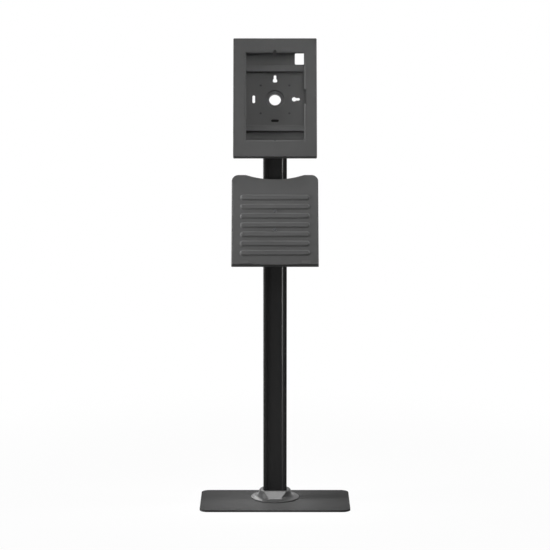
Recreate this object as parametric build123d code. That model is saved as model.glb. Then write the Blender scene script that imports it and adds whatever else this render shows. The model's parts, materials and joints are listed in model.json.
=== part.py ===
from build123d import *
from math import cos, radians, sin, sqrt, tan
import os

# Tablet floor stand: base plate, pole, document tray and lockable tablet enclosure.
# Millimetres. X is to the viewer's right, Y to the back, Z up. While it is modelled, the middle of
# the base plate stands at X = 0, Y = 0 on the floor. At the end everything is moved so that the
# origin is the middle of the whole outline on the floor.

# Fits
shank_play = 0.05
slide_play = 0.3
socket_play = 0.2

# Base plate and its rubber pads
base_width = 401.5
base_depth = 214.5
base_thickness = 5.0
base_corner = 22.0
pad_height = 2.0
pad_radius = 11.0
pad_inset = 22.0

# Foot casting
flange_radius = 65.0
flange_thickness = 4.0
foot_height = 23.7
shoulder_radius = 43.0
shoulder_round = 7.0
foot_sweep = 7.0
foot_waist_flare = 3.0
socket_depth = 10.0
facet_lip = 1.5
facet_angle = 42.0
facet_floor = 1.5

# Pole: extrusion with two rounded ridges and a sunk panel on its front and on its back
pole_width = 63.0
pole_depth = 40.0
pole_length = 1025.0
pole_set_back = 29.75
ridge_width = 13.0
ridge_height = 3.0
pole_wall = 2.5
port_wall = 3.0
port_sink_x = 0.5
port_sink_y = 2.5
cable_outlet_height = 95.0

# Fasteners: M8, M6, M5, M3
m8 = 4.0
m6 = 3.0
m5 = 2.5
m3 = 1.5
pole_screw_length = 60.0
head_screw_length = 16.0

# Cable grommets
grommet_hole = 10.0
grommet_bore = 6.5
grommet_lip = 3.0
grommet_lip_thickness = 1.5

# Head bracket and tilt joint
head_sheet = 3.0
ear_radius = 11.0
pivot_rise = 27.0
pivot_ahead = 18.0
tilt_angle = 19.0
tilt_plate_width = 88.0
tilt_plate_height = 96.0
tilt_plate_corner = 8.0
tilt_sheet = 2.5
tilt_washer = 1.0
tilt_washer_radius = 9.0
ear_reach = 18.2
pivot_drop = 9.2
ear_foot_up = 25.0
ear_foot_down = 25.0

# Swivel hub between enclosure and tilt plate
dish_radius = 25.0
dish_floor_radius = 22.2
dish_depth = 3.0
hub_bore = 15.5
hub_barrel = 18.0
hub_flange = 23.0
hub_flange_thickness = 3.0
swivel_washer = 1.0
ring_nut_thickness = 4.0
hub_overhang = 0.5
hub_screw_circle = 19.5
small_head_radius = 2.4
small_head_height = 1.6

# Enclosure
case_width = 218.3
case_height = 317.9
case_depth = 24.0
case_sheet = 1.2
case_corner = 2.5
case_bend = 1.5
cover_return = 3.0
back_gap = 1.5
side_play = 1.4
end_play = 0.6
shell_wall_height = 18.0
frame_side = 33.65
frame_top = 39.3
frame_bottom = 44.8
lip_width = 5.2
lip_drop = 2.7
camera_notch_width = 10.0
camera_notch_height = 7.9
lower_notch_width = 6.0
lower_notch_height = 4.0
side_notch_depth = 6.0
side_notch_length = 40.0

# Holes in the rear shell
vesa_spacing = 75.0
vesa_hole = 3.0
keyhole_centre = 50.0
keyhole_radius = 5.85
keyhole_slot_end = 65.0
keyhole_slot_width = 6.8
side_slot_out = 55.7
side_slot_length = 21.0
lower_slot_down = 57.5
lower_slot_length = 20.0
camera_hole_left = 52.0
camera_hole_right = 77.5
camera_hole_low = 93.5
camera_hole_high = 124.0
camera_hole_corner = 3.0

# Tablet rails
rail_height = 12.0
rail_face = 16.0
rail_spacing = 160.0
rail_bend = 1.5
rail_tab = 14.0
rail_play = 0.2

# Cover hinges
hinge_pin = 1.5
knuckle_radius = 3.0
hinge_height = 40.0
cover_knuckle = 14.0
knuckle_gap = 0.5
knuckle_lift = 0.3
hinge_spacing = 210.0
leaf_thickness = 1.0
shell_leaf_width = 16.0
cover_leaf_reach = 11.0

# Cam lock
lock_radius = 6.0
lock_head_radius = 8.0
lock_axis_height = 9.6
lock_length = 14.4
lock_head_thickness = 1.2
lock_window = 21.0
plug_radius = 3.5
lock_nut_thickness = 3.5
lock_nut_radius = 8.1
cam_thickness = 2.0
cam_hub = 5.0
cam_tip = 3.0
cam_reach = 7.2
catch_offset = 14.5
catch_foot_height = 3.0
catch_sheet = 1.5
catch_width = 5.5
catch_foot_start = 7.0

# Document tray
tray_width = 227.8
tray_height = 255.0
tray_sheet = 1.5
tray_corner = 18.0
tray_lower_corner = 3.0
tray_angle = 27.0
tray_bottom_height = 664.1
tray_reach = 137.7
tray_return = 9.0
tray_bend = 3.5
dip_width = 153.0
dip_depth = 12.4
rib_count = 7
rib_length = 184.0
rib_width = 16.6
rib_height = 2.6
rib_slope = 4.0
rib_pitch = 25.5
first_rib = 63.0
ledge_depth = 29.0
ledge_middle_depth = 22.0
ledge_end_depth = 25.5
ledge_corner = 6.0
tab_offset = 80.5
tab_width = 21.0
tab_height = 8.0
tab_lean = 12.0

# Tray bracket, collar and clamp
bracket_sheet = 2.5
bracket_below_screws = 19.5
bracket_above_screws = 24.0
collar_wall = 5.2
collar_height = 70.0
collar_corner = 4.0
collar_drop = 15.0
boss_radius = 13.0
boss_length = 8.0
clamp_pad_radius = 8.0
clamp_pad_thickness = 3.0
clamp_travel = 2.5
knob_radius = 20.0
knob_thickness = 14.0
knob_gap = 3.0
knob_lobes = 6
bracket_screw_length = 10.0
tray_screw_length = 9.0
tray_nut_thickness = 4.0

# Levels and places that follow from the sizes above
base_top = pad_height + base_thickness
foot_top = base_top + foot_height
pole_bottom = foot_top - socket_depth
pole_top = pole_bottom + pole_length
pole_front = pole_set_back - pole_depth / 2
pole_back = pole_set_back + pole_depth / 2
panel_half = pole_width / 2 - ridge_width
cavity_half_width = pole_width / 2 - pole_wall
cavity_half_depth = pole_depth / 2 - ridge_height - pole_wall
port_outer = m6 + port_wall
port_x = cavity_half_width - port_outer + port_sink_x
port_y = cavity_half_depth - port_outer + port_sink_y
panel_back = pole_back - ridge_height

pivot_y = pole_set_back - pivot_ahead
pivot_z = pole_top + pivot_rise
tilt_plate_start = dish_depth + hub_flange_thickness + swivel_washer
tilt_plate_end = tilt_plate_start + tilt_sheet
pivot_back = tilt_plate_end + ear_reach
head_half = tilt_plate_width / 2 - tilt_sheet - tilt_washer
ring_nut_start = tilt_plate_end + swivel_washer
hub_end = ring_nut_start + ring_nut_thickness + hub_overhang

cover_inner = case_width / 2 - case_sheet
shell_half_width = cover_inner - side_play
shell_half_height = case_height / 2 - case_sheet - end_play
cover_face_inside = case_depth - case_sheet
cover_seam = case_depth - cover_return
rail_face_level = case_sheet + rail_height
rail_end = shell_half_width - case_sheet - rail_play
rail_length = 2 * (rail_end - rail_tab)
window_width = case_width - 2 * frame_side
window_height = case_height - frame_top - frame_bottom
window_rise = (frame_bottom - frame_top) / 2
hinge_x = cover_inner - knuckle_radius
hinge_back = knuckle_radius + knuckle_lift
lock_seat = shell_half_width
lock_end = lock_seat - lock_length
cam_end = lock_end - cam_thickness

slope = radians(tray_angle)
tray_y = pole_front - tray_reach
tray_z = tray_bottom_height
collar_half_width = pole_width / 2 + slide_play + collar_wall
collar_half_depth = pole_depth / 2 + slide_play + collar_wall
collar_back = pole_set_back + collar_half_depth
bracket_half = collar_half_width + bracket_sheet
screw_rows = [tray_height - first_rib - (row + 0.5) * rib_pitch for row in (1, 3)]
bracket_low = min(screw_rows) - bracket_below_screws
bracket_high = max(screw_rows) + bracket_above_screws


def corners(dx, dy):
    return [(sx * dx, sy * dy) for sx in (-1, 1) for sy in (-1, 1)]


# A flat outline that faces the viewer, made solid between two distances in front of a back plane.
# Distances behind that plane are negative.
def slab(outline, start, stop):
    return extrude(Plane.XZ.offset(start) * outline, stop - start)


# A round piece along Y, between two distances in front of the back plane.
def disc(radius, start, stop, x=0.0, z=0.0):
    return slab(Pos(x, z) * Circle(radius), start, stop)


# A round piece along X, between two places on X.
def cross_disc(radius, start, stop, y=0.0, z=0.0):
    return extrude(Plane.YZ.offset(start) * Pos(y, z) * Circle(radius), stop - start)


# A screw that points down, with the underside of its head at Z = 0.
def cap_screw(radius, length, head_height=None):
    height = head_height or 1.1 * radius
    head = Pos(0, 0, height / 2) * Cylinder(1.75 * radius, height)
    head = chamfer(head.edges().sort_by(Axis.Z)[-1], 0.25 * height)
    recess = Pos(0, 0, height) * extrude(RegularPolygon(0.9 * radius, 6), -0.6 * height)
    shank = Pos(0, 0, -length / 2) * Cylinder(radius, length)
    return head + shank - recess


# A countersunk screw that points up, with its flat head at Z = 0.
def flat_screw(radius, length, play=0.0):
    head = Pos(0, 0, radius / 2) * Cone(2 * radius + play, radius + play, radius)
    shank = Pos(0, 0, length / 2) * Cylinder(radius + play, length)
    return head + shank


def hex_nut(across_corners, thickness, hole):
    outline = RegularPolygon(across_corners, 6) - Circle(hole)
    return extrude(outline, thickness)


# Base plate, pads, foot casting

def make_base_plate():
    plate = extrude(RectangleRounded(base_width, base_depth, base_corner), base_thickness)
    plate = Pos(0, 0, pad_height) * plate
    plate = fillet(plate.faces().sort_by(Axis.Z)[-1].edges(), 0.8)
    for x, y in corners(port_x, port_y):
        seat = flat_screw(m6, base_thickness + 1, shank_play)
        plate -= Pos(x, pole_set_back + y, pad_height) * seat
    return plate


def make_rubber_pads():
    pads = []
    for x, y in corners(base_width / 2 - pad_inset, base_depth / 2 - pad_inset):
        pad = Pos(x, y, pad_height / 2) * Cylinder(pad_radius, pad_height)
        pads.append(pad)
    return pads


def pole_outline(grow=0.0):
    half = pole_width / 2 + grow
    depth = pole_depth / 2 + grow
    low = depth - ridge_height
    ridge = ridge_width + 2 * grow
    crest = half - ridge / 2
    inner = half - ridge
    with BuildSketch() as sketch:
        with BuildLine():
            for side in (-1, 1):
                ThreePointArc((-half, side * low), (-crest, side * depth), (-inner, side * low))
                Line((-inner, side * low), (inner, side * low))
                ThreePointArc((inner, side * low), (crest, side * depth), (half, side * low))
            Line((-half, -low), (-half, low))
            Line((half, -low), (half, low))
        make_face()
    return sketch.sketch


def make_foot_casting():
    waist = shoulder_radius + foot_waist_flare
    with BuildSketch(Plane.XZ) as profile:
        with BuildLine():
            Polyline(
                (0, 0),
                (flange_radius, 0),
                (flange_radius, flange_thickness),
                (waist, flange_thickness),
                (shoulder_radius, foot_height),
                (0, foot_height),
                close=True,
            )
        make_face()
        rim = profile.vertices().sort_by_distance((flange_radius, flange_thickness))[0]
        chamfer(rim, 0.3 * flange_thickness)
        inner = profile.vertices().sort_by_distance((waist, flange_thickness))[0]
        fillet(inner, foot_sweep)
        shoulder = profile.vertices().sort_by_distance((shoulder_radius, foot_height))[0]
        fillet(shoulder, shoulder_round)
    foot = revolve(profile.sketch, Axis.Z)
    lip = pole_depth / 2 + socket_play + facet_lip
    reach = 2 * flange_radius
    keep = Pos(0, 0, flange_thickness + facet_floor + reach / 2) * Box(2 * reach, 2 * reach, reach)
    for side in (-1, 1):
        wedge = Pos(0, side * reach / 2, reach / 2) * Box(2 * reach, reach, reach)
        wedge = Pos(0, side * lip, foot_height) * Rot(-side * facet_angle, 0, 0) * wedge
        foot -= wedge & keep
    socket = extrude(pole_outline(socket_play), socket_depth)
    foot -= Pos(0, 0, foot_height - socket_depth) * socket
    for x, y in corners(port_x, port_y):
        foot -= Pos(x, y, foot_height / 2) * Cylinder(m6 + shank_play, 2 * foot_height)
    return Pos(0, pole_set_back, base_top) * foot


def make_pole_screws():
    screw = flat_screw(m6, pole_screw_length)
    return [Pos(x, pole_set_back + y, pad_height) * screw for x, y in corners(port_x, port_y)]


# Pole

def make_pole():
    section = pole_outline()
    cavity = Rectangle(2 * cavity_half_width, 2 * cavity_half_depth)
    for x, y in corners(port_x, port_y):
        cavity -= Pos(x, y) * Circle(port_outer)
    section -= cavity
    for x, y in corners(port_x, port_y):
        section -= Pos(x, y) * Circle(m6 + shank_play)
    pole = Pos(0, pole_set_back, pole_bottom) * extrude(section, pole_length)
    outlet = disc(grommet_hole, -pole_back - 1, -pole_set_back)
    return pole - Pos(0, 0, cable_outlet_height) * outlet


# A rubber ring round the edge of a hole in a wall, along Z from the wall's outer face down.
def grommet(wall):
    neck = Pos(0, 0, -wall / 2) * Cylinder(grommet_hole - shank_play, wall)
    lip = Cylinder(grommet_hole + grommet_lip, grommet_lip_thickness)
    lip = chamfer(lip.edges().filter_by(GeomType.CIRCLE).sort_by(Axis.Z)[-1], 0.6)
    outer = Pos(0, 0, grommet_lip_thickness / 2) * lip
    inner = Pos(0, 0, -wall - grommet_lip_thickness / 2) * Rot(180, 0, 0) * lip
    bore = Cylinder(grommet_bore, 6 * wall + 4 * grommet_lip_thickness)
    return neck + outer + inner - bore


def make_pole_grommet():
    return Pos(0, panel_back, cable_outlet_height) * Rot(-90, 0, 0) * grommet(pole_wall)


# Head bracket and tilt joint

def make_head_bracket():
    ear = Pos(pivot_y, pole_top + pivot_rise) * Circle(ear_radius)
    foot = Pos(pole_set_back, pole_top + head_sheet / 2) * Rectangle(pole_depth, head_sheet)
    side = make_hull(ear.edges() + foot.edges())
    block = extrude(Plane.YZ.offset(-head_half) * side, 2 * head_half)
    lower = block.edges().filter_by(Axis.Y).group_by(Axis.Z)[0]
    block = fillet(lower, head_sheet)
    tall = pivot_rise + 2 * ear_radius
    hollow = Box(2 * (head_half - head_sheet), 3 * pole_depth, tall)
    block -= Pos(0, pole_set_back, pole_top + head_sheet + tall / 2) * hollow
    block -= cross_disc(m8 + shank_play, -head_half - 1, head_half + 1, pivot_y, pivot_z)
    block -= Pos(0, pole_set_back, pole_top) * Cylinder(grommet_hole, 4 * head_sheet)
    for x, y in corners(port_x, port_y):
        block -= Pos(x, pole_set_back + y, pole_top) * Cylinder(m6 + shank_play, 4 * head_sheet)
    return block


def make_head_screws():
    screw = cap_screw(m6, head_screw_length)
    level = pole_top + head_sheet
    return [Pos(x, pole_set_back + y, level) * screw for x, y in corners(port_x, port_y)]


def make_head_grommet():
    return Pos(0, pole_set_back, pole_top + head_sheet) * grommet(head_sheet)


def make_tilt_plate():
    outline = RectangleRounded(tilt_plate_width, tilt_plate_height, tilt_plate_corner)
    plate = slab(outline, -tilt_plate_end, -tilt_plate_start)
    foot_height_full = ear_foot_up + ear_foot_down
    foot_middle = (ear_foot_up - ear_foot_down) / 2
    foot = Pos(tilt_plate_start + tilt_sheet / 2, foot_middle) * Rectangle(tilt_sheet, foot_height_full)
    tip = Pos(pivot_back, -pivot_drop) * Circle(ear_radius)
    side = make_hull(foot.edges() + tip.edges())
    for sign in (-1, 1):
        start = sign * tilt_plate_width / 2
        plate += extrude(Plane.YZ.offset(start) * side, -sign * tilt_sheet)
    bends = plate.edges().filter_by(Axis.Z).sort_by(Axis.Y)
    bends = [edge for edge in bends if abs(edge.center().Y - tilt_plate_start) < 0.01]
    bends = [edge for edge in bends if abs(abs(edge.center().X) - tilt_plate_width / 2) < 0.01]
    if bends:
        plate = fillet(bends, 0.6 * tilt_sheet)
    plate -= disc(hub_barrel + shank_play, -tilt_plate_end - 1, -tilt_plate_start + 1)
    reach = tilt_plate_width / 2 + 1
    return plate - cross_disc(m8 + shank_play, -reach, reach, pivot_back, -pivot_drop)


def make_tilt_bolts():
    length = tilt_sheet + tilt_washer + head_sheet + 0.8 * m8 * 2
    bolts = []
    for sign in (-1, 1):
        bolt = Pos(sign * tilt_plate_width / 2, pivot_back, -pivot_drop) * Rot(0, sign * 90, 0)
        bolts.append(bolt * cap_screw(m8, length))
    return bolts


def make_tilt_nuts():
    nuts = []
    for sign in (-1, 1):
        seat = Pos(sign * (head_half - head_sheet), pivot_back, -pivot_drop) * Rot(0, -sign * 90, 0)
        nuts.append(seat * hex_nut(7.5, 0.8 * m8 * 2, m8 + shank_play))
    return nuts


def make_tilt_washers():
    washers = []
    for sign in (-1, 1):
        outline = Circle(tilt_washer_radius) - Circle(m8 + shank_play)
        plane = Plane.YZ.offset(sign * head_half) * Pos(pivot_back, -pivot_drop)
        washers.append(extrude(plane * outline, sign * tilt_washer))
    return washers


# Swivel hub

def ring_places(count, radius, first):
    step = 360 / count
    angles = [radians(first + step * turn) for turn in range(count)]
    return [(radius * cos(angle), radius * sin(angle)) for angle in angles]


def make_swivel_hub():
    flange_end = dish_depth + hub_flange_thickness
    hub = disc(hub_flange, -flange_end, -dish_depth)
    hub += disc(hub_barrel, -hub_end, -flange_end)
    hub -= disc(hub_bore, -hub_end - 1, 0)
    for x, z in ring_places(3, hub_screw_circle, 90):
        hub -= disc(m3 + shank_play, -flange_end - 1, 0, x, z)
    return hub


def make_swivel_washers():
    outline = Circle(hub_flange) - Circle(hub_barrel + slide_play)
    front = slab(outline, -tilt_plate_start, -tilt_plate_start + swivel_washer)
    rear = slab(outline, -ring_nut_start, -ring_nut_start + swivel_washer)
    return [front, rear]


def make_ring_nut():
    outline = Circle(hub_flange) - Circle(hub_barrel + shank_play)
    for x, z in ring_places(4, hub_flange, 45):
        outline -= Pos(x, z) * Circle(2.5)
    return slab(outline, -ring_nut_start - ring_nut_thickness, -ring_nut_start)


def make_hub_screws():
    seat = -(dish_depth - case_sheet)
    length = case_sheet + hub_flange_thickness
    screws = []
    for x, z in ring_places(3, hub_screw_circle, 90):
        head = disc(small_head_radius, seat, seat + small_head_height, x, z)
        shank = disc(m3, seat - length, seat, x, z)
        screws.append(head + shank)
    return screws


# Rear shell and rails

def keyhole(angle):
    slot_half = (keyhole_slot_end - keyhole_centre) / 2
    slot_middle = keyhole_centre + slot_half - keyhole_slot_width / 4
    slot_size = 2 * slot_half + keyhole_slot_width / 2
    slot = Pos(0, slot_middle) * Rot(0, 0, 90) * SlotOverall(slot_size, keyhole_slot_width)
    return Rot(0, 0, angle) * (Pos(0, keyhole_centre) * Circle(keyhole_radius) + slot)


def make_rear_shell():
    outer = RectangleRounded(2 * shell_half_width, 2 * shell_half_height, case_corner)
    shell = slab(outer, 0, case_sheet)
    run = (dish_radius - dish_floor_radius) / dish_depth
    rise = case_sheet * (sqrt(1 + run ** 2) - run)
    back_wide = Plane.XZ * Circle(dish_radius + rise)
    back_small = Plane.XZ.offset(-dish_depth) * Circle(dish_floor_radius + rise)
    shell += loft([back_wide, back_small])
    front_wide = Plane.XZ.offset(case_sheet) * Circle(dish_radius)
    front_small = Plane.XZ.offset(case_sheet - dish_depth) * Circle(dish_floor_radius)
    shell -= loft([front_wide, front_small])
    cuts = Sketch() + keyhole(0) + keyhole(-90)
    cuts += Pos(-side_slot_out, 0) * Rot(0, 0, 90) * SlotOverall(side_slot_length, keyhole_slot_width)
    cuts += Pos(0, -lower_slot_down) * SlotOverall(lower_slot_length, keyhole_slot_width)
    for x, z in corners(vesa_spacing / 2, vesa_spacing / 2):
        cuts += Pos(x, z) * Circle(vesa_hole)
    cuts += Circle(hub_bore)
    for x, z in ring_places(3, hub_screw_circle, 90):
        cuts += Pos(x, z) * Circle(m3 + shank_play)
    camera_wide = camera_hole_right - camera_hole_left
    camera_tall = camera_hole_high - camera_hole_low
    camera_x = (camera_hole_left + camera_hole_right) / 2
    camera_z = (camera_hole_low + camera_hole_high) / 2
    cuts += Pos(camera_x, camera_z) * RectangleRounded(camera_wide, camera_tall, camera_hole_corner)
    for x, z in rail_screw_places():
        cuts += Pos(x, z) * Circle(m3 + shank_play)
    return shell - slab(cuts, -dish_depth - 1, case_sheet + 1)


# The strip that stands round the shell's edge.
def make_shell_frame():
    outer = RectangleRounded(2 * shell_half_width, 2 * shell_half_height, case_corner)
    inner_width = 2 * (shell_half_width - case_sheet)
    inner_height = 2 * (shell_half_height - case_sheet)
    inner = RectangleRounded(inner_width, inner_height, case_corner - case_sheet)
    strip = slab(outer, case_sheet, shell_wall_height) - slab(inner, 0, shell_wall_height + 1)
    return strip - cross_disc(lock_radius + shank_play, -shell_half_width - 1, -lock_end, -lock_axis_height)


def rail_screw_places():
    return corners(rail_length / 2 + rail_tab / 2, rail_spacing / 2)


def make_rail(side):
    pan = slab(Rectangle(rail_length, rail_face), case_sheet, rail_face_level)
    face = pan.faces().sort_by(Axis.Y)[0]
    pan = fillet(face.edges(), rail_bend)
    inner = Rectangle(rail_length - 2 * case_sheet, rail_face - 2 * case_sheet)
    pan -= slab(inner, 0, rail_face_level - case_sheet)
    for sign in (-1, 1):
        middle = sign * (rail_length / 2 + rail_tab / 2 - 0.5)
        tab = Pos(middle, 0) * Rectangle(rail_tab + 1, rail_face)
        pan += slab(tab, case_sheet, 2 * case_sheet)
        hole = Pos(sign * (rail_length / 2 + rail_tab / 2), 0) * Circle(m3 + shank_play)
        pan -= slab(hole, 0, 3 * case_sheet)
    return Pos(0, 0, side * rail_spacing / 2) * pan


def make_rail_screws():
    screws = []
    for x, z in rail_screw_places():
        head = disc(small_head_radius, 2 * case_sheet, 2 * case_sheet + small_head_height, x, z)
        screws.append(head + disc(m3, 0, 2 * case_sheet, x, z))
    return screws


# Front cover

def window_block(width, height, start, stop):
    return slab(Pos(0, window_rise) * Rectangle(width, height), start, stop)


def window_funnel(near, far, near_grow, far_grow):
    wide = Pos(0, window_rise) * Rectangle(window_width + 2 * near_grow, window_height + 2 * near_grow)
    small = Pos(0, window_rise) * Rectangle(window_width + 2 * far_grow, window_height + 2 * far_grow)
    return loft([Plane.XZ.offset(near) * wide, Plane.XZ.offset(far) * small])


def cover_inner_outline():
    return RectangleRounded(2 * cover_inner, case_height - 2 * case_sheet, case_corner - case_sheet)


def make_front_cover():
    outer = slab(RectangleRounded(case_width, case_height, case_corner), cover_seam, case_depth)
    outer = fillet(outer.faces().sort_by(Axis.Y)[0].edges(), case_bend)
    cover = outer - slab(cover_inner_outline(), 0, cover_face_inside)
    slant = sqrt(lip_width ** 2 + lip_drop ** 2)
    out = case_sheet * lip_drop / slant
    down = case_sheet * lip_width / slant
    lip_level = case_depth - lip_drop
    cover -= window_block(window_width + 2 * lip_width, window_height + 2 * lip_width, 0, case_depth + 1)
    reach = lip_width + out + down * lip_width / lip_drop
    ring = window_funnel(case_depth, lip_level - down, reach, out)
    ring -= window_funnel(case_depth, lip_level, lip_width, 0)
    ring -= window_block(window_width, window_height, 0, case_depth)
    cover += ring
    top = window_rise + window_height / 2
    bottom = window_rise - window_height / 2
    radius = camera_notch_width / 2
    notch = Pos(0, top + camera_notch_height - radius) * Circle(radius)
    notch += Pos(0, top + (camera_notch_height - radius) / 2 - 1) * Rectangle(
        camera_notch_width, camera_notch_height - radius + 2
    )
    radius = lower_notch_width / 2
    notch += Pos(0, bottom - lower_notch_height + radius) * Circle(radius)
    notch += Pos(0, bottom) * Rectangle(lower_notch_width, 2 * (lower_notch_height - radius))
    side_notch = RectangleRounded(2 * side_notch_depth, side_notch_length, 1.5)
    notch += Pos(window_width / 2, window_rise) * side_notch
    return cover - slab(notch, lip_level - 3 * case_sheet, case_depth + 1)


# The strip of the cover's four walls, from behind the face to the back edge.
def make_cover_walls():
    strip = slab(RectangleRounded(case_width, case_height, case_corner), back_gap, cover_seam)
    strip -= slab(cover_inner_outline(), 0, case_depth)
    window = Box(4 * case_sheet, 2 * lock_axis_height, lock_window)
    return strip - Pos(-cover_inner - case_sheet, -lock_axis_height, 0) * window


def make_lock_catch():
    tall = cover_face_inside - catch_foot_height
    leg = Box(catch_width, tall, catch_sheet)
    leg = Pos(0, -catch_foot_height - tall / 2, catch_offset + catch_sheet / 2) * leg
    foot_length = catch_offset + catch_sheet - catch_foot_start
    foot = Box(catch_width, catch_sheet, foot_length)
    foot_middle = catch_foot_start + foot_length / 2
    foot = Pos(0, -catch_foot_height - catch_sheet / 2, foot_middle) * foot
    seat = Box(catch_width, catch_sheet, foot_length)
    seat_middle = catch_offset + foot_length / 2
    seat = Pos(0, -cover_face_inside + catch_sheet / 2, seat_middle) * seat
    middle = -(lock_end + cam_end) / 2
    return Pos(middle, 0, 0) * (leg + foot + seat)


# Hinges: the axis runs along Z at the right rear edge

def hinge_places():
    return [-hinge_spacing / 2, hinge_spacing / 2]


def knuckle(height, middle):
    tube = Cylinder(knuckle_radius, height) - Cylinder(hinge_pin + shank_play, height + 1)
    return Pos(hinge_x, hinge_back, middle) * tube


def make_shell_leaves():
    leaves = []
    end_height = (hinge_height - cover_knuckle) / 2 - knuckle_gap
    offset_up = hinge_height / 2 - end_height / 2
    for level in hinge_places():
        leaf = Box(shell_leaf_width, leaf_thickness, hinge_height)
        leaf = Pos(hinge_x - shell_leaf_width / 2, leaf_thickness / 2, level) * leaf
        room = Box(2 * knuckle_radius + 1, 4 * knuckle_radius, cover_knuckle + 2 * knuckle_gap)
        leaf -= Pos(hinge_x, hinge_back, level) * room
        for sign in (-1, 1):
            leaf += knuckle(end_height, level + sign * offset_up)
        leaf -= Pos(hinge_x, hinge_back, level) * Cylinder(hinge_pin + shank_play, hinge_height + 1)
        leaves.append(leaf)
    return leaves


def make_cover_leaves():
    leaves = []
    for level in hinge_places():
        reach = cover_leaf_reach + hinge_back
        leaf = Box(leaf_thickness, reach, cover_knuckle)
        leaf = Pos(cover_inner - leaf_thickness / 2, hinge_back - reach / 2, level) * leaf
        leaf += knuckle(cover_knuckle, level)
        leaf -= Pos(hinge_x, hinge_back, level) * Cylinder(hinge_pin + shank_play, cover_knuckle + 1)
        leaves.append(leaf)
    return leaves


def make_hinge_pins():
    pins = []
    for level in hinge_places():
        pin = Cylinder(hinge_pin, hinge_height)
        pin += Pos(0, 0, hinge_height / 2 + 0.5) * Cylinder(1.6 * hinge_pin, 1.0)
        pin += Pos(0, 0, -hinge_height / 2 - 0.5) * Cylinder(1.6 * hinge_pin, 1.0)
        pins.append(Pos(hinge_x, hinge_back, level) * pin)
    return pins


# Cam lock in the left wall, its axis along X

def lock_disc(radius, outer, inner):
    return cross_disc(radius, -outer, -inner, -lock_axis_height)


def make_lock_body():
    body = lock_disc(lock_head_radius, lock_seat + lock_head_thickness, lock_seat)
    body += lock_disc(lock_radius, lock_seat, lock_end)
    return body - lock_disc(plug_radius + shank_play, lock_seat + 2 * lock_head_thickness, lock_end - 1)


def make_lock_nut():
    nut = Plane.YZ.offset(-lock_seat + case_sheet) * Pos(-lock_axis_height, 0)
    outline = RegularPolygon(lock_nut_radius, 6) - Circle(lock_radius + shank_play)
    return extrude(nut * outline, lock_nut_thickness)


def make_lock_plug():
    plug = lock_disc(plug_radius, lock_seat + lock_head_thickness, lock_end)
    slot = Pos(-lock_seat - lock_head_thickness, -lock_axis_height, 0) * Box(6, 0.9, 4.4)
    plug -= slot
    return plug - lock_disc(m3 + shank_play, lock_end + 6, lock_end - 1)


def make_lock_cam():
    hub = Pos(-lock_axis_height, 0) * Circle(cam_hub)
    tip = Pos(-lock_axis_height - cam_reach, 0) * Circle(cam_tip)
    outline = make_hull(hub.edges() + tip.edges())
    outline -= Pos(-lock_axis_height, 0) * Circle(m3 + shank_play)
    return extrude(Plane.YZ.offset(-lock_end) * outline, cam_thickness)


def make_cam_screw():
    head = lock_disc(small_head_radius, cam_end, cam_end - small_head_height)
    return head + lock_disc(m3, lock_end + 5, cam_end)


# Document tray: modelled upright with its lower front edge on the X axis, then leaned back

def tray_front_outline():
    half = tray_width / 2
    dip = dip_width / 2
    with BuildSketch() as sketch:
        with BuildLine():
            Line((-half, 0), (half, 0))
            Line((half, 0), (half, tray_height))
            Line((half, tray_height), (dip, tray_height))
            ThreePointArc((dip, tray_height), (0, tray_height - dip_depth), (-dip, tray_height))
            Line((-dip, tray_height), (-half, tray_height))
            Line((-half, tray_height), (-half, 0))
        make_face()
        fillet(sketch.vertices().group_by(Axis.Y)[0], tray_lower_corner)
        top = sketch.vertices().group_by(Axis.Y)[-1].sort_by(Axis.X)
        fillet([top[0], top[-1]], tray_corner)
        inner = [v for v in sketch.vertices() if abs(abs(v.X) - dip) < 0.1 and v.Y > tray_height / 2]
        fillet(inner, tray_corner)
    return sketch.sketch


def ledge_outline():
    half = tray_width / 2
    near = tab_offset - tab_width / 2
    far = tab_offset + tab_width / 2
    with BuildSketch() as sketch:
        with BuildLine():
            ThreePointArc((-near, -ledge_depth), (0, -ledge_middle_depth), (near, -ledge_depth))
            Line((near, -ledge_depth), (far, -ledge_depth))
            Line((far, -ledge_depth), (far, -ledge_end_depth))
            Line((far, -ledge_end_depth), (half, -ledge_end_depth))
            Line((half, -ledge_end_depth), (half, tray_width))
            Line((half, tray_width), (-half, tray_width))
            Line((-half, tray_width), (-half, -ledge_end_depth))
            Line((-half, -ledge_end_depth), (-far, -ledge_end_depth))
            Line((-far, -ledge_end_depth), (-far, -ledge_depth))
            Line((-far, -ledge_depth), (-near, -ledge_depth))
        make_face()
        ends = [v for v in sketch.vertices() if abs(abs(v.X) - half) < 0.1 and v.Y < 0]
        fillet(ends, ledge_corner)
    return sketch.sketch


# A rib: a long flat-topped bead with round ends, whose sides slope up from the sheet's front face.
def rib_bead():
    foot = Plane.XZ * SlotOverall(rib_length, rib_width)
    crest = Plane.XZ.offset(rib_height) * SlotOverall(rib_length - 2 * rib_slope, rib_width - 2 * rib_slope)
    return loft([foot, crest], ruled=True)


# The tray's side turned back round a bend, seen from above.
def side_bend(sign):
    half = tray_width / 2
    start = half - 1.5 * tray_bend
    with BuildSketch() as sketch:
        with BuildLine():
            Polyline(
                (sign * start, 0),
                (sign * half, 0),
                (sign * half, tray_return),
                (sign * (half - tray_sheet), tray_return),
                (sign * (half - tray_sheet), tray_sheet),
                (sign * start, tray_sheet),
                close=True,
            )
        make_face()
        fillet(sketch.vertices().sort_by_distance((sign * half, 0))[0], tray_bend)
        inner = sketch.vertices().sort_by_distance((sign * (half - tray_sheet), tray_sheet))[0]
        fillet(inner, tray_bend - tray_sheet)
    return sketch.sketch


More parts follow.
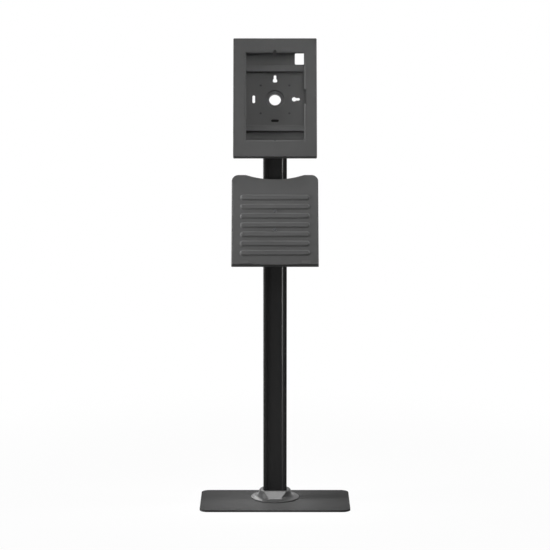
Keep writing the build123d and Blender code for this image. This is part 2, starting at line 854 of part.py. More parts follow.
def make_tray_plate():
    half = tray_width / 2
    with BuildSketch(Plane.YZ.offset(-half)) as profile:
        with BuildLine():
            Polyline(
                (-2 * ledge_depth, 0),
                (tray_sheet, 0),
                (tray_sheet, tray_height),
                (0, tray_height),
                (0, tray_sheet),
                (-2 * ledge_depth, tray_sheet),
                close=True,
            )
        make_face()
        fillet(profile.vertices().sort_by_distance((tray_sheet, 0))[0], tray_bend)
        fillet(profile.vertices().sort_by_distance((0, tray_sheet))[0], tray_bend - tray_sheet)
    tray = extrude(profile.sketch, tray_width)
    tray &= slab(tray_front_outline(), -2 * tray_sheet, 3 * ledge_depth)
    tray &= extrude(ledge_outline(), 2 * tray_height, both=True)
    wall_start = 2 * tray_bend
    wall_tall = tray_height - tray_corner - wall_start
    corner = Box(2 * tray_bend, 4 * tray_sheet, wall_tall)
    for sign in (-1, 1):
        tray -= Pos(sign * half, 0, wall_start + wall_tall / 2) * corner
        tray += Pos(0, 0, wall_start) * extrude(side_bend(sign), wall_tall)
    for row in range(rib_count):
        level = tray_height - first_rib - row * rib_pitch
        tray += Pos(0, 0, level) * rib_bead()
        tray -= Pos(0, tray_sheet, level) * rib_bead()
    for level in screw_rows:
        tray -= disc(m5 + shank_play, -3 * tray_sheet, tray_sheet, 0, level)
    for sign in (-1, 1):
        tray += Pos(sign * tab_offset, -ledge_depth, 0) * tray_tab()
    return tray


def tray_tab():
    lean = tan(radians(tab_lean))
    top = tray_sheet + tab_height
    with BuildSketch(Plane.YZ.offset(-tab_width / 2)) as profile:
        with BuildLine():
            Polyline(
                (0, 0),
                (top * lean, top),
                (top * lean + tray_sheet, top),
                (tray_sheet * (1 + lean), tray_sheet),
                (2 * tray_sheet, 0),
                close=True,
            )
        make_face()
    return extrude(profile.sketch, tab_width)


def make_tray_screws():
    turn = Rot(90, 0, 0)
    return [Pos(0, 0, level) * turn * cap_screw(m5, tray_screw_length, 2.6) for level in screw_rows]


def make_tray_nuts():
    back = tray_sheet + bracket_sheet
    nuts = []
    for level in screw_rows:
        nuts.append(Pos(0, back, level) * Rot(-90, 0, 0) * hex_nut(4.6, tray_nut_thickness, m5 + shank_play))
    return nuts


# The sloping strip and its two cheeks, bent from one sheet, in the stand's own frame.
def make_tray_bracket():
    def on_slope(along, behind):
        y = tray_y + along * sin(slope) + behind * cos(slope)
        return (y, tray_z + along * cos(slope) - behind * sin(slope))

    low = on_slope(bracket_low, tray_sheet)
    high = on_slope(bracket_high, tray_sheet)
    back = pole_set_back + collar_half_depth - collar_wall
    with BuildSketch(Plane.YZ.offset(-bracket_half)) as cheek:
        with BuildLine():
            Polyline(low, high, (back, high[1]), (back, high[1] - collar_height + 10), close=True)
        make_face()
        rear = cheek.vertices().sort_by(Axis.X)[-2:]
        fillet(rear, 8.0)
    block = extrude(cheek.sketch, 2 * bracket_half)
    front_edges = [
        edge
        for edge in block.edges()
        if abs(edge.length - (bracket_high - bracket_low)) < 0.01 and abs(abs(edge.center().X) - bracket_half) < 0.01
    ]
    block = fillet(front_edges, 1.5 * bracket_sheet)
    inner_low = on_slope(bracket_low - tray_height, tray_sheet + bracket_sheet)
    inner_high = on_slope(bracket_high + tray_height, tray_sheet + bracket_sheet)
    with BuildSketch(Plane.YZ.offset(-collar_half_width)) as space:
        with BuildLine():
            Polyline(
                inner_low,
                inner_high,
                (inner_high[0] + tray_height, inner_high[1]),
                (inner_high[0] + tray_height, inner_low[1]),
                close=True,
            )
        make_face()
    block -= extrude(space.sketch, 2 * collar_half_width)
    for level in screw_rows:
        hole = disc(m5 + shank_play, -2 * tray_sheet - 2 * bracket_sheet, 0, 0, level)
        block -= Pos(0, tray_y, tray_z) * Rot(-tray_angle, 0, 0) * hole
    for y, z in bracket_screw_places():
        block -= cross_disc(m5 + shank_play, -bracket_half - 1, bracket_half + 1, y, z)
    return block


def collar_level():
    return tray_z + bracket_high * cos(slope) - tray_sheet * sin(slope) - collar_height / 2


def bracket_screw_places():
    middle = collar_level()
    return [(pole_set_back + side * 10.0, middle + 12.0) for side in (-1, 1)]


def make_bracket_screws():
    screws = []
    for sign in (-1, 1):
        for y, z in bracket_screw_places():
            turn = Pos(sign * bracket_half, y, z) * Rot(0, sign * 90, 0)
            screws.append(turn * cap_screw(m5, bracket_sheet + collar_wall - 0.7))
    return screws


def make_tray_collar():
    outline = RectangleRounded(2 * collar_half_width, 2 * collar_half_depth, collar_corner)
    outline -= pole_outline(slide_play)
    level = collar_level()
    collar = Pos(0, pole_set_back, level - collar_height / 2) * extrude(outline, collar_height)
    boss = disc(boss_radius, -collar_back - boss_length, -collar_back + collar_wall / 2)
    collar += Pos(0, 0, level) * boss
    collar -= Pos(0, 0, level) * disc(m8 + shank_play, -collar_back - boss_length - 1, -pole_set_back)
    pocket_end = panel_back + clamp_pad_thickness + clamp_travel + slide_play
    collar -= Pos(0, 0, level) * disc(clamp_pad_radius + slide_play, -pocket_end, -pole_set_back)
    for y, z in bracket_screw_places():
        collar -= cross_disc(m5 + shank_play, -collar_half_width - 1, collar_half_width + 1, y, z)
    return collar


def make_clamp_pad():
    pad = disc(clamp_pad_radius, -panel_back - clamp_pad_thickness, -panel_back)
    return Pos(0, 0, collar_level()) * pad


def make_clamp_stud():
    end = collar_back + boss_length + knob_gap + 0.7 * knob_thickness
    return Pos(0, 0, collar_level()) * disc(m8, -end, -panel_back - clamp_pad_thickness)


def make_clamp_knob():
    start = collar_back + boss_length + knob_gap
    outline = Sketch() + Circle(0.82 * knob_radius)
    for x, z in ring_places(knob_lobes, 0.68 * knob_radius, 90):
        outline += Pos(x, z) * Circle(0.32 * knob_radius)
    knob = slab(outline, -start - knob_thickness, -start)
    knob = chamfer(knob.faces().sort_by(Axis.Y)[-1].edges(), 1.2)
    knob -= disc(m8 + shank_play, -start - 0.7 * knob_thickness - 0.1, -start + 1)
    return Pos(0, 0, collar_level()) * knob


# Places of the assemblies

lean_tray = Pos(0, tray_y, tray_z) * Rot(-tray_angle, 0, 0)
lean_case = Pos(0, pivot_y, pivot_z) * Rot(-tilt_angle, 0, 0) * Pos(0, -pivot_back, pivot_drop)
upright = Pos(0, 0, 0)

pieces = {
    "base_plate": (upright, make_base_plate()),
    "rubber_pads": (upright, make_rubber_pads()),
    "foot_casting": (upright, make_foot_casting()),
    "pole_screws": (upright, make_pole_screws()),
    "pole": (upright, make_pole()),
    "pole_grommet": (upright, make_pole_grommet()),
    "head_bracket": (upright, make_head_bracket()),
    "head_screws": (upright, make_head_screws()),
    "head_grommet": (upright, make_head_grommet()),
    "tilt_plate": (lean_case, make_tilt_plate()),
    "tilt_bolts": (lean_case, make_tilt_bolts()),
    "tilt_nuts": (lean_case, make_tilt_nuts()),
    "tilt_washers": (lean_case, make_tilt_washers()),
    "swivel_hub": (lean_case, make_swivel_hub()),
    "swivel_washers": (lean_case, make_swivel_washers()),
    "swivel_ring_nut": (lean_case, make_ring_nut()),
    "hub_screws": (lean_case, make_hub_screws()),
    "rear_shell": (lean_case, make_rear_shell()),
    "shell_frame": (lean_case, make_shell_frame()),
    "upper_rail": (lean_case, make_rail(1)),
    "lower_rail": (lean_case, make_rail(-1)),
    "rail_screws": (lean_case, make_rail_screws()),
    "front_cover": (lean_case, make_front_cover()),
    "cover_walls": (lean_case, make_cover_walls()),
    "lock_catch": (lean_case, make_lock_catch()),
    "shell_hinge_leaves": (lean_case, make_shell_leaves()),
    "cover_hinge_leaves": (lean_case, make_cover_leaves()),
    "hinge_pins": (lean_case, make_hinge_pins()),
    "lock_body": (lean_case, make_lock_body()),
    "lock_nut": (lean_case, make_lock_nut()),
    "lock_plug": (lean_case, make_lock_plug()),
    "lock_cam": (lean_case, make_lock_cam()),
    "cam_screw": (lean_case, make_cam_screw()),
    "document_tray": (lean_tray, make_tray_plate()),
    "tray_screws": (lean_tray, make_tray_screws()),
    "tray_nuts": (lean_tray, make_tray_nuts()),
    "tray_bracket": (upright, make_tray_bracket()),
    "bracket_screws": (upright, make_bracket_screws()),
    "tray_collar": (upright, make_tray_collar()),
    "clamp_pad": (upright, make_clamp_pad()),
    "clamp_stud": (upright, make_clamp_stud()),
    "clamp_knob": (upright, make_clamp_knob()),
}

placed = {}
for name, (frame, shape) in pieces.items():
    group = shape if isinstance(shape, list) else [shape]
    solids = [solid for piece in group for solid in (frame * piece).solids()]
    placed[name] = solids

everything = Compound([solid for solids in placed.values() for solid in solids])
outline = everything.bounding_box()
to_origin = Pos(-(outline.min.X + outline.max.X) / 2, -(outline.min.Y + outline.max.Y) / 2, -outline.min.Z)

os.makedirs("parts", exist_ok=True)
for name, solids in placed.items():
    moved = [to_origin * solid for solid in solids]
    export_step(Compound(moved), f"parts/{name}.step")

print("moved to origin by", to_origin.position)
for label, spot in {
    "tilt axis": Vector(0, pivot_y, pivot_z),
    "swivel centre": (lean_case * Pos(0, 0, 0)).position,
    "hinge axis": (lean_case * Pos(hinge_x, hinge_back, 0)).position,
    "lock axis": (lean_case * Pos(-lock_end, -lock_axis_height, 0)).position,
    "clamp axis": Vector(0, collar_back, collar_level()),
    "tray lower edge": Vector(0, tray_y, tray_z),
}.items():
    print(label, spot + to_origin.position)
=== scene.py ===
import json
import math

import bmesh
import bpy
from mathutils import Matrix, Vector


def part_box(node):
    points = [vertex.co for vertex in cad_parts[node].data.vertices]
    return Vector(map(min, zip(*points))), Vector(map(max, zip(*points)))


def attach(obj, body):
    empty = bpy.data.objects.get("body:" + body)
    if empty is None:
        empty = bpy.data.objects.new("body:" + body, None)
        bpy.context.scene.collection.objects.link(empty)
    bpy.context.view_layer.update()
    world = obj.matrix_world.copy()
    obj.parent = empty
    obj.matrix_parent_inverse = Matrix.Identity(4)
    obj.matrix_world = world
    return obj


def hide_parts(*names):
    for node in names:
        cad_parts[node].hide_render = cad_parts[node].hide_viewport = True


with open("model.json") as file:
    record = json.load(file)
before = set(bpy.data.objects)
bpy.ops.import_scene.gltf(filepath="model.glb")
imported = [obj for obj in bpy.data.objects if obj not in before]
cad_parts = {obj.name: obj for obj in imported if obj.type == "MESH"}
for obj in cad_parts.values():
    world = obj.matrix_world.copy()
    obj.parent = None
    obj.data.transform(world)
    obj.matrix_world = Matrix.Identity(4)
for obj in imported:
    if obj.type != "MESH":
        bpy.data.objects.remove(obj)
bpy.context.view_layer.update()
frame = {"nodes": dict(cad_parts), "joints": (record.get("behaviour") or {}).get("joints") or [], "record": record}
nodes = frame["nodes"]
slotOf = {entry["node"]: entry["material_slot"] for entry in frame["record"]["subparts"]}
bodyOf = {node: body for body, members in frame["record"]["behaviour"]["bodies"].items() for node in members}
print("frame loaded:", len(nodes), "nodes")


def toLinear(hexValue):
    channels = [int(hexValue[i:i + 2], 16) / 255 for i in (1, 3, 5)]
    linear = [c / 12.92 if c <= 0.04045 else ((c + 0.055) / 1.055) ** 2.4 for c in channels]
    return (*linear, 1.0)


def shades(hexValue, share):
    # the colour a little darker and a little lighter, for an uneven surface
    base = toLinear(hexValue)[:3]
    return [[c * (1 - share) for c in base] + [1.0], [c * (1 + share) for c in base] + [1.0]]


def addNode(tree, kind, settings=None, inputs=None):
    # settings are the node's own fields, inputs are values or sockets to link
    node = tree.nodes.new(kind)
    for name, value in (settings or {}).items():
        setattr(node, name, value)
    for name, value in (inputs or {}).items():
        if isinstance(value, bpy.types.NodeSocket):
            tree.links.new(value, node.inputs[name])
        else:
            node.inputs[name].default_value = value
    return node


def newMaterial(name):
    material = bpy.data.materials.new(name)
    material.use_nodes = True
    material.node_tree.nodes.clear()
    return material, material.node_tree


# mottle and tone are shares of the colour, smoother, rougher and gloss are spans of the roughness,
# peel and bump are strengths of the relief, stretch draws the lines out, and sizes are in mm
coatSettings = {"mottle": 0.06, "cloudMm": 60, "smoother": 0.04, "rougher": 0.05, "peel": 0.35}
lineSettings = {"tone": 0.1, "gloss": 0.05, "stretch": 0.02, "bump": 0.3, "depthMm": 0.02}
grainSettings = {"tone": 0.12, "bump": 0.3, "depthMm": 0.05}


def coatedMetal(name, colour, roughness, grainMm, grainHeightMm, specular):
    # powder coat: a matt skin with a fine orange peel, slightly uneven in tone
    material, tree = newMaterial(name)
    coords = addNode(tree, "ShaderNodeTexCoord")
    grain = addNode(tree, "ShaderNodeTexNoise", inputs={
        "Vector": coords.outputs["Object"], "Scale": 1000 / grainMm, "Detail": 3.0, "Roughness": 0.55})
    cloud = addNode(tree, "ShaderNodeTexNoise", inputs={
        "Vector": coords.outputs["Object"], "Scale": 1000 / coatSettings["cloudMm"], "Detail": 2.0,
        "Roughness": 0.5})
    dark, light = shades(colour, coatSettings["mottle"])
    tone = addNode(tree, "ShaderNodeMix", {"data_type": "RGBA"}, {
        "Factor": cloud.outputs["Fac"], 6: dark, 7: light})
    gloss = addNode(tree, "ShaderNodeMapRange", inputs={
        "Value": grain.outputs["Fac"], "From Min": 0.3, "From Max": 0.7,
        "To Min": roughness - coatSettings["smoother"], "To Max": roughness + coatSettings["rougher"]})
    peel = addNode(tree, "ShaderNodeBump", inputs={
        "Height": grain.outputs["Fac"], "Strength": coatSettings["peel"], "Distance": grainHeightMm / 1000})
    shader = addNode(tree, "ShaderNodeBsdfPrincipled", inputs={
        "Base Color": tone.outputs[2], "Roughness": gloss.outputs["Result"],
        "Normal": peel.outputs["Normal"]})
    shader.inputs["Specular IOR Level"].default_value = specular
    addNode(tree, "ShaderNodeOutputMaterial", inputs={"Surface": shader.outputs["BSDF"]})
    return material


def bareMetal(name, colour, roughness, lineMm, along="X", metallic=1.0):
    # drawn, turned or plated metal: fine lines along one direction
    material, tree = newMaterial(name)
    coords = addNode(tree, "ShaderNodeTexCoord")
    stretch = [lineSettings["stretch"] if axis == along else 1 for axis in "XYZ"]
    mapping = addNode(tree, "ShaderNodeMapping", inputs={
        "Vector": coords.outputs["Object"], "Scale": stretch})
    lines = addNode(tree, "ShaderNodeTexNoise", inputs={
        "Vector": mapping.outputs["Vector"], "Scale": 1000 / lineMm, "Detail": 3.0, "Roughness": 0.6})
    dark, light = shades(colour, lineSettings["tone"])
    tone = addNode(tree, "ShaderNodeMix", {"data_type": "RGBA"}, {
        "Factor": lines.outputs["Fac"], 6: dark, 7: light})
    gloss = addNode(tree, "ShaderNodeMapRange", inputs={
        "Value": lines.outputs["Fac"], "From Min": 0.3, "From Max": 0.7,
        "To Min": roughness - lineSettings["gloss"], "To Max": roughness + lineSettings["gloss"]})
    bump = addNode(tree, "ShaderNodeBump", inputs={
        "Height": lines.outputs["Fac"], "Strength": lineSettings["bump"],
        "Distance": lineSettings["depthMm"] / 1000})
    shader = addNode(tree, "ShaderNodeBsdfPrincipled", inputs={
        "Base Color": tone.outputs[2], "Roughness": gloss.outputs["Result"],
        "Normal": bump.outputs["Normal"]})
    shader.inputs["Metallic"].default_value = metallic
    addNode(tree, "ShaderNodeOutputMaterial", inputs={"Surface": shader.outputs["BSDF"]})
    return material


def softPlastic(name, colour, roughness, grainMm):
    # rubber and moulded plastic: fine even grain
    material, tree = newMaterial(name)
    coords = addNode(tree, "ShaderNodeTexCoord")
    grain = addNode(tree, "ShaderNodeTexNoise", inputs={
        "Vector": coords.outputs["Object"], "Scale": 1000 / grainMm, "Detail": 2.0, "Roughness": 0.5})
    dark, light = shades(colour, grainSettings["tone"])
    tone = addNode(tree, "ShaderNodeMix", {"data_type": "RGBA"}, {
        "Factor": grain.outputs["Fac"], 6: dark, 7: light})
    bump = addNode(tree, "ShaderNodeBump", inputs={
        "Height": grain.outputs["Fac"], "Strength": grainSettings["bump"],
        "Distance": grainSettings["depthMm"] / 1000})
    shader = addNode(tree, "ShaderNodeBsdfPrincipled", inputs={
        "Base Color": tone.outputs[2], "Normal": bump.outputs["Normal"]})
    shader.inputs["Roughness"].default_value = roughness
    addNode(tree, "ShaderNodeOutputMaterial", inputs={"Surface": shader.outputs["BSDF"]})
    return material


# colour, roughness and pattern size in mm
# the grain of most of them is really finer, and is drawn coarser here so that it shows
finishes = {
    # folded steel sheet, powder coated black: dead matt, an even dark grey with hardly a highlight
    "black_powder_coat": coatedMetal("sheetPowderCoat", "#505050", 0.5, 0.8, 0.03, 0.02),
    # the heavy plate's textured coat: it swallows the flat light that slides along it
    "base_coat": coatedMetal("plateTexturedCoat", "#3c3c3c", 0.45, 0.9, 0.04, 0.01),
    # die cast foot in satin coat: a broad soft sheen on its flat and its flange
    "foot_coat": coatedMetal("castingSatinCoat", "#343434", 0.3, 1.2, 0.03, 0.1),
    # brackets behind: the same coat, a shade darker
    "bracket_coat": coatedMetal("bracketPowderCoat", "#383838", 0.5, 0.8, 0.03, 0.12),
    # extruded aluminium, anodised black: almost black, with thin lights along its ridges
    "pole_anodised": coatedMetal("poleBlackAnodised", "#181818", 0.36, 0.6, 0.01, 0.1),
    # turned aluminium, anodised black: dark rings with a dull metal gleam
    "hub_metal": bareMetal("turnedBlackAnodised", "#3a3a3c", 0.35, 0.4, "Y", 0.6),
    # steel screws in black oxide: dark grey heads with a soft gleam
    "black_screw": bareMetal("blackOxideSteel", "#3c3c3e", 0.4, 0.3, metallic=0.6),
    # zinc plated steel: a cool light grey, half bright
    "zinc": bareMetal("zincPlatedSteel", "#b4b6b8", 0.32, 0.4),
    # chrome plated lock: bright and sharp, the only mirror on the stand
    "chrome_lock": bareMetal("brightPlatedLock", "#c8c9ca", 0.16, 0.5),
    # acetal washers: creamy white and slightly waxy
    "washer_polymer": softPlastic("acetalWasher", "#d8d6cc", 0.45, 0.5),
    # rubber pads and grommets: flat black without gleam
    "black_rubber": softPlastic("blackRubber", "#1d1d1e", 0.75, 0.4),
    # moulded nylon knob: black with a faint sheen
    "knob_plastic": softPlastic("blackNylon", "#202022", 0.5, 0.6),
}
for node, slot in slotOf.items():
    nodes[node].data.materials.clear()
    nodes[node].data.materials.append(finishes[slot])
print("finishes assigned")

# reach in metres within which two points are one, then degrees and the steps of a soft edge
meshSettings = {"mergeReach": 0.000005, "flatAngle": 0.4, "edgeAngle": 28, "edgeSegments": 2}


def mergedCopy(names):
    # the CAD meshes are loose triangles, joined here
    shape = bmesh.new()
    for name in names:
        shape.from_mesh(nodes[name].data)
    bmesh.ops.remove_doubles(shape, verts=shape.verts, dist=meshSettings["mergeReach"])
    return shape


def openEdges(shape):
    return sum(len(edge.link_faces) != 2 for edge in shape.edges)


def addPiece(name, shape, replaced, softEdge,
             segments=meshSettings["edgeSegments"], angle=meshSettings["edgeAngle"]):
    # a finished piece in the place of CAD nodes, on their body and with their finish
    # its flat areas are made one face first, so that only real edges are softened
    bmesh.ops.dissolve_limit(shape, angle_limit=math.radians(meshSettings["flatAngle"]),
                             use_dissolve_boundaries=False, verts=shape.verts, edges=shape.edges,
                             delimit=set())
    for face in shape.faces:
        face.smooth = True
    data = bpy.data.meshes.new(name)
    shape.to_mesh(data)
    shape.free()
    data.materials.append(finishes[slotOf[replaced[0]]])
    piece = bpy.data.objects.new(name, data)
    bpy.context.scene.collection.objects.link(piece)
    bevel = piece.modifiers.new("softEdges", "BEVEL")
    bevel.width = softEdge / 1000
    bevel.segments = segments
    bevel.limit_method = "ANGLE"
    bevel.angle_limit = math.radians(angle)
    bevel.miter_outer = "MITER_ARC"
    flat = piece.modifiers.new("flatFaces", "WEIGHTED_NORMAL")
    flat.keep_sharp = True
    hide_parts(*replaced)
    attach(piece, bodyOf[replaced[0]])


# the small soft edge that making and finish leave on the larger parts, in mm
softEdges = {
    "base_plate": 0.5, "rubber_pads": 0.5, "pole": 0.25, "head_bracket": 0.4, "tilt_plate": 0.4,
    "tray_bracket": 0.4, "tray_collar": 0.6, "document_tray": 0.25, "rear_shell": 0.2, "shell_frame": 0.2,
    "upper_rail": 0.2, "lower_rail": 0.2, "swivel_hub": 0.3, "swivel_ring_nut": 0.4, "clamp_knob": 1.2,
}
smallestEdge = 0.12  # screws, nuts and all other small parts, in mm
ownShapes = ("front_cover", "cover_walls", "foot_casting")  # made further down
for node in sorted(nodes):
    if node not in ownShapes:
        addPiece(node.replace("_", "") + "Soft", mergedCopy([node]), [node],
                 softEdges.get(node, smallestEdge))
print("soft edged parts ready")

# the foot: a round boss that sweeps out to its flange, with a flat cut before and behind the pole
# the profile is radius and height, sizes are in mm and angles in degrees
footSettings = {
    "profile": [(0, 0), (65, 0), (65, 2.4), (64, 3.2), (61.5, 3.6), (57.5, 4.0), (53, 4.7), (49.6, 5.9),
                (47.2, 7.6), (45.6, 9.5), (44.4, 12), (43.7, 15), (43.2, 18), (42.7, 20.6), (41.8, 22.4),
                (40.3, 23.4), (38.8, 23.7), (0, 23.7)],
    "steps": 96, "cutTop": 29.4, "cutLow": 6.0, "cutLean": 42.0,
    "block": (200, 100, 50), "blockShift": (0, -50, -20),
    "socketPlay": 0.2, "socketDepth": 10.0, "socketTall": 30.0, "softEdge": 0.6, "edgeAngle": 24,
}


def footBoss(settings):
    boss = bmesh.new()
    profile = [boss.verts.new((radius / 1000, 0, height / 1000)) for radius, height in settings["profile"]]
    for first, second in zip(profile, profile[1:]):
        boss.edges.new((first, second))
    bmesh.ops.spin(boss, geom=boss.verts[:] + boss.edges[:], cent=(0, 0, 0), axis=(0, 0, 1), dvec=(0, 0, 0),
                   angle=math.tau, steps=settings["steps"], use_merge=True, use_duplicate=False)
    bmesh.ops.remove_doubles(boss, verts=boss.verts, dist=meshSettings["mergeReach"])
    bmesh.ops.recalc_face_normals(boss, faces=boss.faces)
    return boss


def footCutter(settings):
    # two leaning blocks, level at their lower end, and the socket that the pole stands in
    cutter = bmesh.new()
    top = settings["profile"][-1][1]
    blockSize = [side / 1000 for side in settings["block"]]
    blockShift = [side / 1000 for side in settings["blockShift"]]
    start = Matrix.Translation((0, -settings["cutTop"] / 1000, top / 1000))
    lean = Matrix.Rotation(-math.radians(settings["cutLean"]), 4, "X")
    for turn in (0, math.pi):
        place = Matrix.Rotation(turn, 4, "Z") @ start @ lean @ Matrix.Translation(blockShift)
        sized = place @ Matrix.Diagonal((*blockSize, 1))
        block = bmesh.ops.create_cube(cutter, size=1.0, matrix=sized)["verts"]
        faces = list({face for v in block for face in v.link_faces})
        edges = list({edge for v in block for edge in v.link_edges})
        cut = bmesh.ops.bisect_plane(cutter, geom=block + edges + faces, plane_no=(0, 0, 1),
                                     plane_co=(0, 0, settings["cutLow"] / 1000), clear_inner=True)
        rim = [edge for edge in cut["geom_cut"] if isinstance(edge, bmesh.types.BMEdge)]
        bmesh.ops.contextual_create(cutter, geom=rim)
    low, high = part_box("pole")
    play = 2 * settings["socketPlay"] / 1000
    size = (high.x - low.x + play, high.y - low.y + play, settings["socketTall"] / 1000)
    lift = (top - settings["socketDepth"]) / 1000 + size[2] / 2
    socket = Matrix.Translation((0, 0, lift)) @ Matrix.Diagonal((*size, 1))
    bmesh.ops.create_cube(cutter, size=1.0, matrix=socket)
    bmesh.ops.recalc_face_normals(cutter, faces=cutter.faces)
    return cutter


def cutAway(solid, cutter):
    # the boolean's result is taken over at once, so nothing depends on the cutter afterwards
    held = []
    for label, shape in (("solid", solid), ("cutter", cutter)):
        data = bpy.data.meshes.new(label)
        shape.to_mesh(data)
        shape.free()
        held.append(bpy.data.objects.new(label, data))
        bpy.context.scene.collection.objects.link(held[-1])
    cut = held[0].modifiers.new("cut", "BOOLEAN")
    cut.operation = "DIFFERENCE"
    cut.solver = "EXACT"
    cut.object = held[1]
    data = bpy.data.meshes.new_from_object(held[0].evaluated_get(bpy.context.evaluated_depsgraph_get()))
    for item in held:
        bpy.data.objects.remove(item)
    result = bmesh.new()
    result.from_mesh(data)
    bpy.data.meshes.remove(data)
    return result


footShape = cutAway(footBoss(footSettings), footCutter(footSettings))
footLow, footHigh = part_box("foot_casting")
bmesh.ops.translate(footShape, verts=footShape.verts,
                    vec=((footLow.x + footHigh.x) / 2, (footLow.y + footHigh.y) / 2, footLow.z))
print("foot ready, open edges:", openEdges(footShape))
addPiece("footCasting", footShape, ["foot_casting"], footSettings["softEdge"],
         angle=footSettings["edgeAngle"])

# the enclosure's own directions: x to the right, y up its face, z out of the screen
joints = {joint["name"]: joint for joint in frame["joints"]}
caseOut = Vector(joints["screen_swivel"]["axis"])
caseUp = Vector(joints["cover_hinge"]["axis"])
caseMiddle = Vector(joints["screen_swivel"]["pos_m"])
caseTurn = Matrix((Vector((1, 0, 0)), caseUp, caseOut)).transposed().to_4x4()
casePlace = Matrix.Translation(caseMiddle) @ caseTurn

# the bend is in mm, and seamReach in metres: faces this near the seam are the inner wall
coverSettings = {"bendRadius": 0.7, "segments": 3, "seamReach": 0.00002}


def coverSkin(settings):
    # the cover is one folded sheet: the two solids are joined and the wall between them goes
    skin = mergedCopy(["front_cover", "cover_walls"])
    inCase = casePlace.inverted()
    seam = max((inCase @ v.co).z for v in nodes["cover_walls"].data.vertices)
    hidden = [face for face in skin.faces
              if all(abs((inCase @ v.co).z - seam) < settings["seamReach"] for v in face.verts)]
    bmesh.ops.delete(skin, geom=hidden, context="FACES")
    return skin


coverShape = coverSkin(coverSettings)
print("cover ready, open edges:", openEdges(coverShape))
addPiece("coverSkin", coverShape, ["front_cover", "cover_walls"], coverSettings["bendRadius"],
         coverSettings["segments"])

# stage: white paper floor and backdrop, soft lamps, the photograph's camera; metres and degrees
stageSettings = {
    "floorHalf": 14.0, "floorColour": "#464646", "paperColour": "#f6f6f6", "nearWhite": 0.96, "fadeFrom": 0.5,
    "fadeTo": 1.6, "world": 0.04,
}


def seenDirectly(tree):
    # 1 for rays from the camera, a reflection or clear glass, so those see the white of the paper
    path = addNode(tree, "ShaderNodeLightPath")
    glossy = addNode(tree, "ShaderNodeMath", {"operation": "MAXIMUM"}, {
        0: path.outputs["Is Camera Ray"], 1: path.outputs["Is Glossy Ray"]})
    return addNode(tree, "ShaderNodeMath", {"operation": "MAXIMUM"}, {
        0: glossy.outputs["Value"], 1: path.outputs["Is Transmission Ray"]}).outputs["Value"]


def paperMaterial(name, stage):
    # matt paper: white where it is seen, with the object's soft shadow near its foot,
    # and grey in the light that it gives back
    material, tree = newMaterial(name)
    seen = seenDirectly(tree)
    tone = addNode(tree, "ShaderNodeMix", {"data_type": "RGBA"}, {
        "Factor": seen, 6: toLinear(stage["floorColour"]), 7: toLinear(stage["paperColour"])})
    diffuse = addNode(tree, "ShaderNodeBsdfDiffuse", inputs={"Color": tone.outputs[2]})
    coords = addNode(tree, "ShaderNodeTexCoord")
    away = addNode(tree, "ShaderNodeVectorMath", {"operation": "LENGTH"}, {0: coords.outputs["Object"]})
    white = addNode(tree, "ShaderNodeMapRange", {"interpolation_type": "SMOOTHSTEP"}, {
        "Value": away.outputs["Value"], "From Min": stage["fadeFrom"], "From Max": stage["fadeTo"],
        "To Min": stage["nearWhite"], "To Max": 1.0})
    share = addNode(tree, "ShaderNodeMath", {"operation": "MULTIPLY"}, {0: seen, 1: white.outputs["Result"]})
    glow = addNode(tree, "ShaderNodeEmission", inputs={"Color": (1, 1, 1, 1), "Strength": 1.0})
    both = addNode(tree, "ShaderNodeMixShader", inputs={
        0: share.outputs["Value"], 1: diffuse.outputs["BSDF"], 2: glow.outputs["Emission"]})
    addNode(tree, "ShaderNodeOutputMaterial", inputs={"Surface": both.outputs["Shader"]})
    return material


floorMesh = bmesh.new()
bmesh.ops.create_grid(floorMesh, x_segments=1, y_segments=1, size=stageSettings["floorHalf"])
floorData = bpy.data.meshes.new("floor")
floorMesh.to_mesh(floorData)
floorMesh.free()
floor = bpy.data.objects.new("floor", floorData)
bpy.context.scene.collection.objects.link(floor)
floor.data.materials.append(paperMaterial("paperFloor", stageSettings))

world = bpy.data.worlds.new("softBox")
world.use_nodes = True
worldTree = world.node_tree
worldTree.nodes.clear()
glow = addNode(worldTree, "ShaderNodeBackground", inputs={
    "Color": (1, 1, 1, 1), "Strength": stageSettings["world"]})
white = addNode(worldTree, "ShaderNodeBackground", inputs={"Color": (1, 1, 1, 1), "Strength": 1.0})
both = addNode(worldTree, "ShaderNodeMixShader", inputs={
    0: seenDirectly(worldTree), 1: glow.outputs["Background"], 2: white.outputs["Background"]})
addNode(worldTree, "ShaderNodeOutputWorld", inputs={"Surface": both.outputs["Shader"]})
bpy.context.scene.world = world
print("floor and backdrop ready")

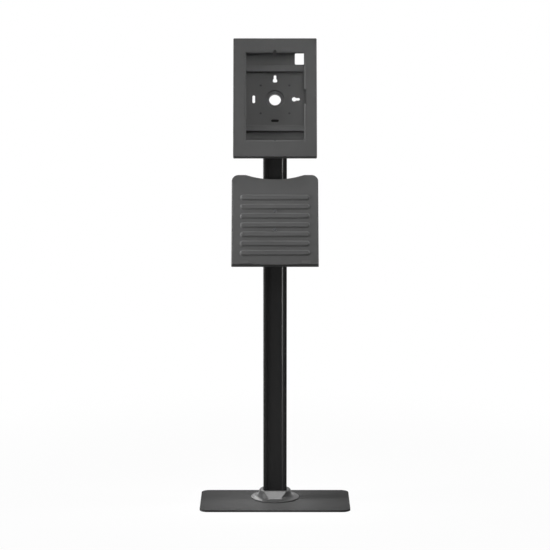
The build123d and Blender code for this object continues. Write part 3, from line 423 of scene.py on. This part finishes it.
# place, aim and size in metres, power in watts, spread in degrees
lamps = [
    # the studio's soft light from the front, from above and on the cover
    {"name": "frontPanel", "at": (0.25, -2.7, 2.3), "to": (0, 0, 0.9),
     "wide": 0.7, "tall": 0.7, "power": 1.15, "spread": 30},
    {"name": "topPanel", "at": (0.45, -0.8, 2.25), "to": (0, -0.05, 0.9),
     "wide": 0.6, "tall": 0.6, "power": 3.2, "spread": 120},
    {"name": "coverPanel", "at": (0.25, -3.3, 1.9), "to": (0.05, -0.03, 1.33),
     "wide": 0.3, "tall": 0.3, "power": 0.1, "spread": 12},
    # edges and bevels from both sides, and the light along the pole's left ridge
    {"name": "leftStrip", "at": (-1.5, 0.0, 1.9), "to": (0, -0.05, 0.75),
     "wide": 0.4, "tall": 0.8, "power": 2.4, "spread": 60},
    {"name": "rightStrip", "at": (1.5, 0.1, 1.9), "to": (0, -0.05, 0.8),
     "wide": 0.4, "tall": 0.8, "power": 4, "spread": 60},
    {"name": "poleStrip", "at": (-1.5, -0.3, 0.65), "to": (0, 0.02, 0.6),
     "wide": 0.25, "tall": 1.1, "power": 4.5, "spread": 40},
    # the foot's flat, its flange, and the light that slides over the flange from behind
    {"name": "footPanel", "at": (0.0, -0.43, 1.12), "to": (0, -0.01, 0.02),
     "wide": 0.16, "tall": 0.16, "power": 0.12, "spread": 16},
    {"name": "flangeStrip", "at": (-0.75, 0.0, 0.85), "to": (-0.02, -0.01, 0.01),
     "wide": 0.1, "tall": 0.3, "power": 0.16, "spread": 20},
    {"name": "backStrip", "at": (-0.3, 1.5, 0.72), "to": (-0.04, -0.025, 0.01),
     "wide": 0.3, "tall": 0.12, "power": 0.02, "spread": 7},
    # the base plate's front edge
    {"name": "lowPanel", "at": (0.0, -2.5, 0.5), "to": (0, 0, 0.15),
     "wide": 0.4, "tall": 0.4, "power": 0.15, "spread": 16},
]
for lamp in lamps:
    light = bpy.data.lights.new(lamp["name"], "AREA")
    light.shape = "RECTANGLE"
    light.size = lamp["wide"]
    light.size_y = lamp["tall"]
    light.energy = lamp["power"]
    light.spread = math.radians(lamp["spread"])
    holder = bpy.data.objects.new(lamp["name"], light)
    place = Vector(lamp["at"])
    turn = (Vector(lamp["to"]) - place).to_track_quat("-Z", "Y").to_matrix().to_4x4()
    holder.matrix_world = Matrix.Translation(place) @ turn
    holder.visible_camera = False
    bpy.context.scene.collection.objects.link(holder)

# solved from the photograph: straight before the pole, so far from its middle, this high and looking down
cameraSettings = {"across": 0.0, "ahead": 6.04397, "height": 1.603, "pitch": 9.26, "lens": 150.09,
                  "sensor": 36.0, "farEnd": 100.0}
cameraData = bpy.data.cameras.new("camera")
cameraData.sensor_width = cameraSettings["sensor"]
cameraData.lens = cameraSettings["lens"]
cameraData.clip_end = cameraSettings["farEnd"]
camera = bpy.data.objects.new("camera", cameraData)
poleLow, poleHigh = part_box("pole")
poleMiddle = (poleLow.y + poleHigh.y) / 2
camera.location = (cameraSettings["across"], poleMiddle - cameraSettings["ahead"], cameraSettings["height"])
camera.rotation_euler = (math.radians(90 - cameraSettings["pitch"]), 0, 0)
bpy.context.scene.collection.objects.link(camera)
bpy.context.scene.camera = camera
bpy.context.scene.view_settings.view_transform = "Standard"
print("stage ready")
